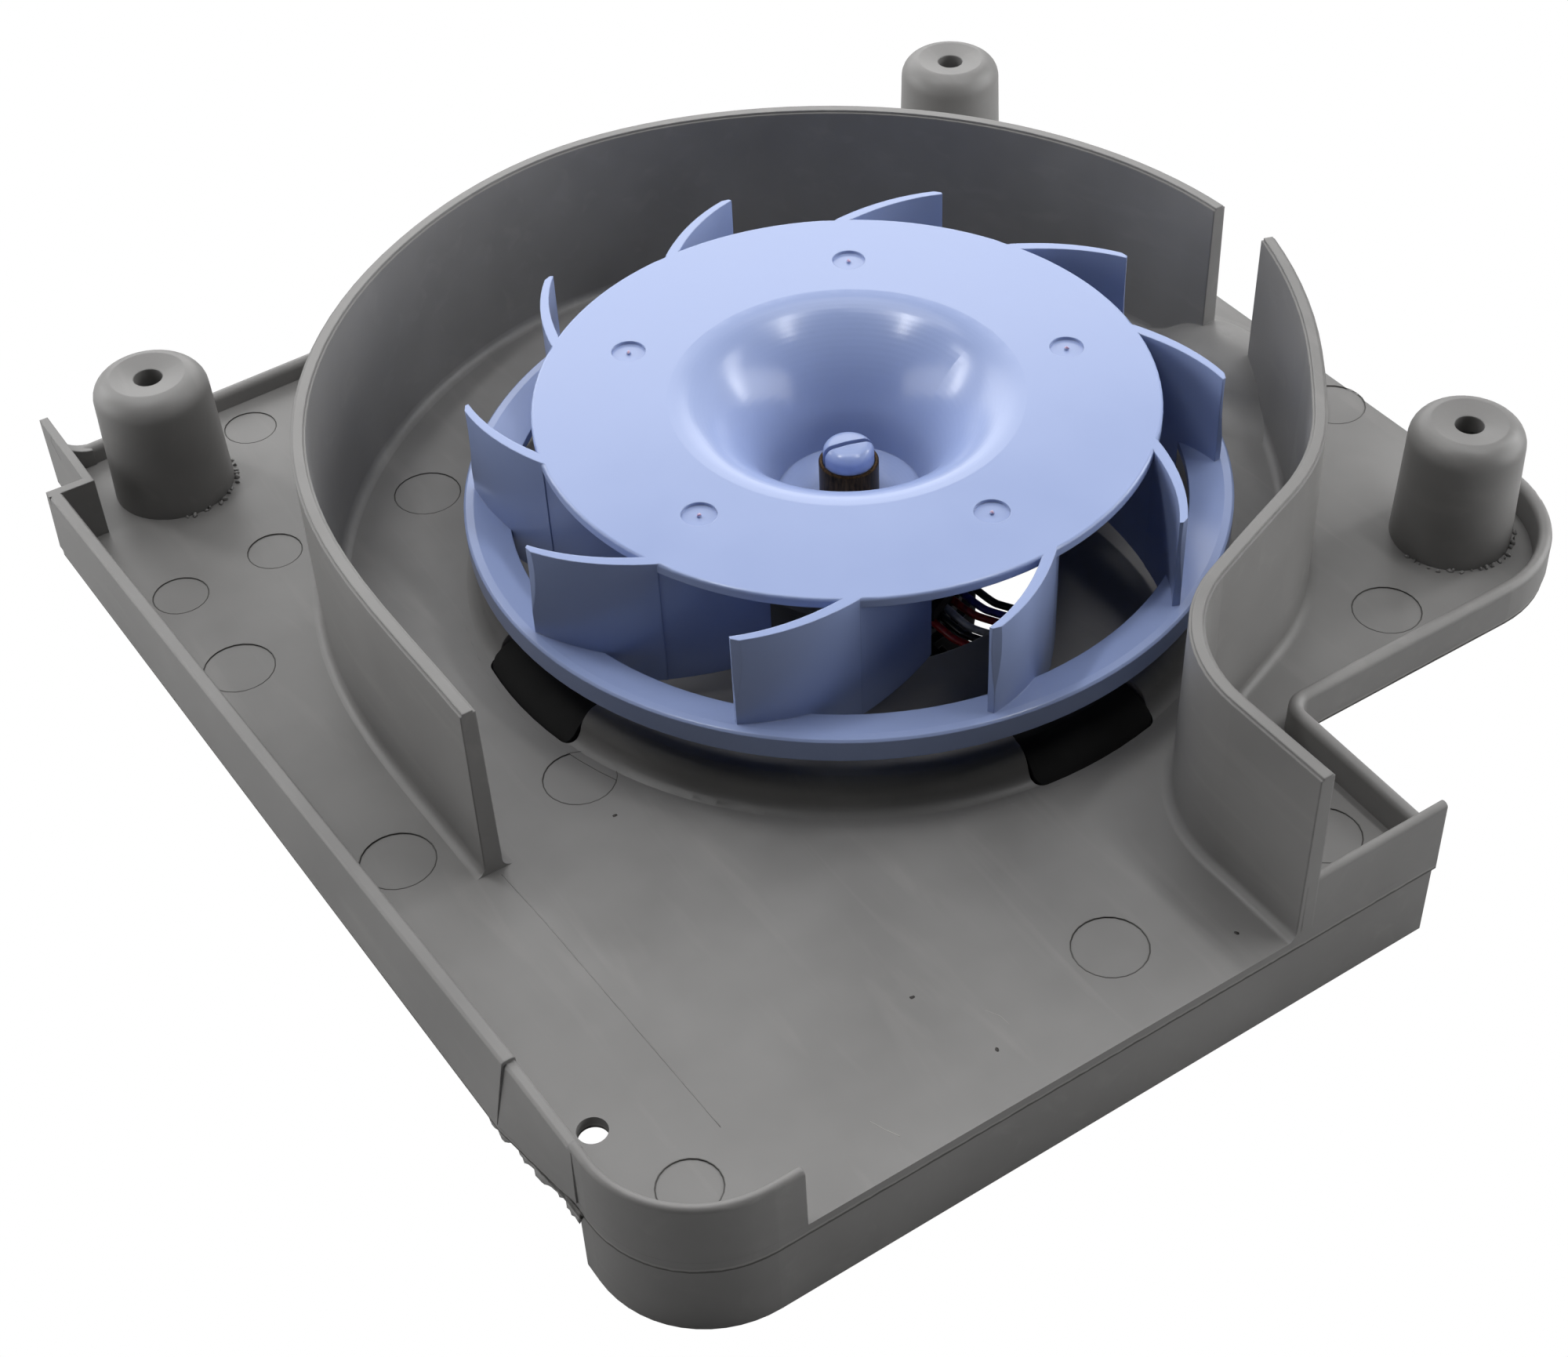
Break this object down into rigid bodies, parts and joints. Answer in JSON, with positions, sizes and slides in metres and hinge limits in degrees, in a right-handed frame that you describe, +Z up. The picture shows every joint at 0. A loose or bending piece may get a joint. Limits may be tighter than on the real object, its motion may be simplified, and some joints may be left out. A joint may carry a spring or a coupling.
{
  "type": "centrifugal evaporator fan motor",
  "caption": "Grey scroll housing with a blue centrifugal impeller driven from below by a small brushless motor on a cushioned spider bracket.",
  "frame": {"origin": "centre of the left rear screw boss's hole, at the seat on top of the boss", "axes": "+Z up, along the impeller's axis and the screw holes; the outlet faces -Y; +X along the outlet edge to the right"},
  "size_m": [0.2324, 0.2344, 0.0544],
  "materials": {
    "housing_plastic": "fine satin, moulded",
    "impeller_plastic": "satin, moulded",
    "sleeve_bronze": "dark oiled sinter",
    "shaft_steel": "ground",
    "spring_steel": "oiled",
    "nylon_natural": "satin",
    "lamination_steel": "punched",
    "ferrite": "moulded ferrite",
    "case_plastic": "satin, moulded",
    "bush_bronze": "sintered",
    "insulator_plastic": "satin",
    "enamelled_copper": "enamelled wire",
    "board_laminate": "solder resist",
    "chip_epoxy": "moulded epoxy",
    "capacitor_ceramic": "dipped",
    "bracket_plastic": "moulded black",
    "foot_rubber": "moulded",
    "zinc_steel": "zinc plated",
    "grommet_rubber": "moulded",
    "lead_red": "extruded insulation",
    "lead_black": "extruded insulation",
    "lead_white": "extruded insulation",
    "lead_blue": "extruded insulation",
    "tie_nylon": "moulded",
    "plug_nylon": "moulded",
    "tinned_contact": "tinned"
  },
  "bodies": {
    "housing": {"scroll_housing": "housing_plastic", "motor_case_lower": "case_plastic", "motor_case_upper": "case_plastic", "upper_bush": "bush_bronze", "lower_bush": "bush_bronze", "thrust_plate": "nylon_natural", "stator_core": "lamination_steel", "winding_insulators": "insulator_plastic", "stator_coils": "enamelled_copper", "circuit_board": "board_laminate", "driver_chip": "chip_epoxy", "smoothing_capacitor": "capacitor_ceramic", "motor_bracket": "bracket_plastic", "foot_cushions": "foot_rubber", "foot_screws": "zinc_steel", "case_screws": "zinc_steel", "bracket_screws": "zinc_steel", "lead_grommet": "grommet_rubber", "lead_red_a": "lead_red", "lead_black_a": "lead_black", "lead_white": "lead_white", "lead_red_b": "lead_red", "lead_blue": "lead_blue", "lead_black_b": "lead_black", "lead_tie": "tie_nylon", "plug_housing": "plug_nylon", "plug_contacts": "tinned_contact"},
    "rotor": {"impeller": "impeller_plastic", "clamp_sleeve": "sleeve_bronze", "shaft": "shaft_steel", "retaining_clip": "spring_steel", "slinger_washer": "nylon_natural", "rotor_core": "lamination_steel", "rotor_magnet": "ferrite", "rotor_spacer": "bush_bronze"}
  },
  "joints": [
    {"name": "rotor_spin", "type": "hinge", "parent": "housing", "child": "rotor", "pos_m": [0.0962, -0.091, -0.025], "axis": [0, 0, 1], "continuous": true}
  ]
}
